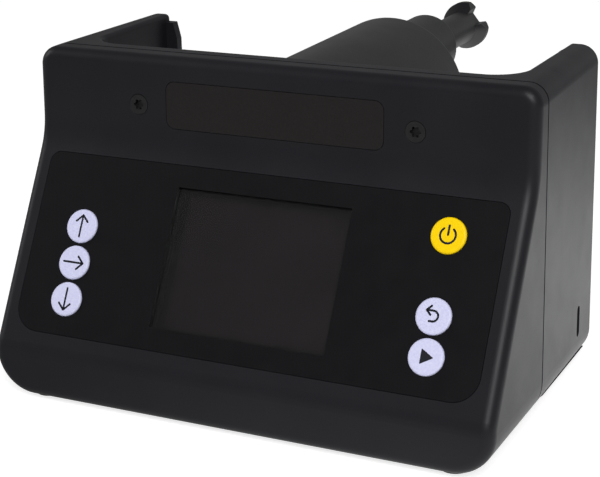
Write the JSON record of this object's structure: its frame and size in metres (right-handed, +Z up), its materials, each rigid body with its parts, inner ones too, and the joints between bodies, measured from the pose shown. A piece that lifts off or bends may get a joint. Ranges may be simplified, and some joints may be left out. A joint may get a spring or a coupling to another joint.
{
  "type": "film processor",
  "caption": "Countertop film processor: a wedge control head with a display and round buttons, and a cradle whose motor tube turns a developing tank.",
  "frame": {"origin": "under the middle of the whole object, on the surface that its feet stand on", "axes": "+X to the user's right, +Y away from the user along the motor tube, +Z up"},
  "size_m": [0.145, 0.1764, 0.0918],
  "materials": {
    "shell_plastic": "fine satin charcoal",
    "cover_plastic": "fine satin near-black",
    "overlay_film": "finely textured near-black",
    "window_clear": "clear, smoked",
    "lcd_glass": "dark display, switched off",
    "button_pale": "satin lavender white",
    "button_yellow": "satin yellow",
    "plate_film": "satin, bare",
    "inner_plastic": "moulded",
    "circuit_board": "green solder mask",
    "chip_black": "moulded",
    "foot_rubber": "matte",
    "seal_rubber": "matte",
    "screw_steel": "zinc plated",
    "screw_black": "black oxide",
    "shaft_steel": "ground",
    "can_steel": "plated",
    "brass": "turned",
    "gear_resin": "moulded acetal",
    "ferrite": "sintered",
    "cell_sleeve": "shrink sleeve",
    "lead_sleeve": "insulation"
  },
  "bodies": {
    "casing": {"front_shell": "shell_plastic", "rear_shell": "shell_plastic", "motor_housing": "shell_plastic", "base_cover": "cover_plastic", "base_cover_screws": "screw_steel", "rubber_feet": "foot_rubber", "control_overlay": "overlay_film", "display_window": "window_clear", "lcd_panel": "lcd_glass", "lcd_frame": "inner_plastic", "tact_switches": "chip_black", "control_board": "circuit_board", "board_components": "chip_black", "buzzer": "chip_black", "board_screws": "screw_steel", "name_plate": "plate_film", "front_screws": "screw_black", "screw_inserts": "brass", "housing_seal": "seal_rubber", "housing_screws": "screw_steel", "motor_mount_screws": "screw_steel", "idler_pins": "shaft_steel", "gearbox_case": "inner_plastic", "gearbox_cover": "inner_plastic", "gearbox_screws": "screw_steel", "output_bushing": "brass", "nose_bushing": "brass", "shaft_seal": "seal_rubber", "motor_can": "can_steel", "motor_magnets": "ferrite", "motor_end_cap": "inner_plastic", "motor_terminals": "brass", "charging_socket": "can_steel", "charger_board": "circuit_board", "battery_cells": "cell_sleeve", "battery_tray": "inner_plastic", "wire_harness": "lead_sleeve"},
    "spindle": {"output_gear": "gear_resin", "output_shaft": "shaft_steel", "coupler_pin": "shaft_steel", "drive_coupler": "shell_plastic"},
    "idler_second": {"idler_gear_second": "gear_resin"},
    "idler_first": {"idler_gear_first": "gear_resin"},
    "motor_rotor": {"motor_armature": "shaft_steel", "motor_pinion": "brass"},
    "button_up_body": {"button_up": "button_pale"},
    "button_right_body": {"button_right": "button_pale"},
    "button_down_body": {"button_down": "button_pale"},
    "button_power_body": {"button_power": "button_yellow"},
    "button_back_body": {"button_back": "button_pale"},
    "button_start_body": {"button_start": "button_pale"}
  },
  "joints": [
    {"name": "spindle_turn", "type": "hinge", "parent": "casing", "child": "spindle", "pos_m": [0, 0.00815, 0.075], "axis": [0, 1, 0], "continuous": true},
    {"name": "second_idler_turn", "type": "hinge", "parent": "casing", "child": "idler_second", "pos_m": [0.00646, 0.00815, 0.07029], "axis": [0, 1, 0], "continuous": true},
    {"name": "first_idler_turn", "type": "hinge", "parent": "casing", "child": "idler_first", "pos_m": [0.00693, 0.00815, 0.0623], "axis": [0, 1, 0], "continuous": true},
    {"name": "motor_turn", "type": "hinge", "parent": "casing", "child": "motor_rotor", "pos_m": [0, 0.00815, 0.0663], "axis": [0, 1, 0], "continuous": true},
    {"name": "up_press", "type": "slide", "parent": "casing", "child": "button_up_body", "axis": [0, 0.8704, -0.4924], "range_m": [0, 0.0006], "stiffness_N_per_m": 800},
    {"name": "right_press", "type": "slide", "parent": "casing", "child": "button_right_body", "axis": [0, 0.8704, -0.4924], "range_m": [0, 0.0006], "stiffness_N_per_m": 800},
    {"name": "down_press", "type": "slide", "parent": "casing", "child": "button_down_body", "axis": [0, 0.8704, -0.4924], "range_m": [0, 0.0006], "stiffness_N_per_m": 800},
    {"name": "power_press", "type": "slide", "parent": "casing", "child": "button_power_body", "axis": [0, 0.8704, -0.4924], "range_m": [0, 0.0006], "stiffness_N_per_m": 800},
    {"name": "back_press", "type": "slide", "parent": "casing", "child": "button_back_body", "axis": [0, 0.8704, -0.4924], "range_m": [0, 0.0006], "stiffness_N_per_m": 800},
    {"name": "start_press", "type": "slide", "parent": "casing", "child": "button_start_body", "axis": [0, 0.8704, -0.4924], "range_m": [0, 0.0006], "stiffness_N_per_m": 800}
  ],
  "couplings": [
    {"joint": "second_idler_turn", "follows": "spindle_turn", "ratio": -3},
    {"joint": "first_idler_turn", "follows": "spindle_turn", "ratio": 9},
    {"joint": "motor_turn", "follows": "spindle_turn", "ratio": -27}
  ]
}
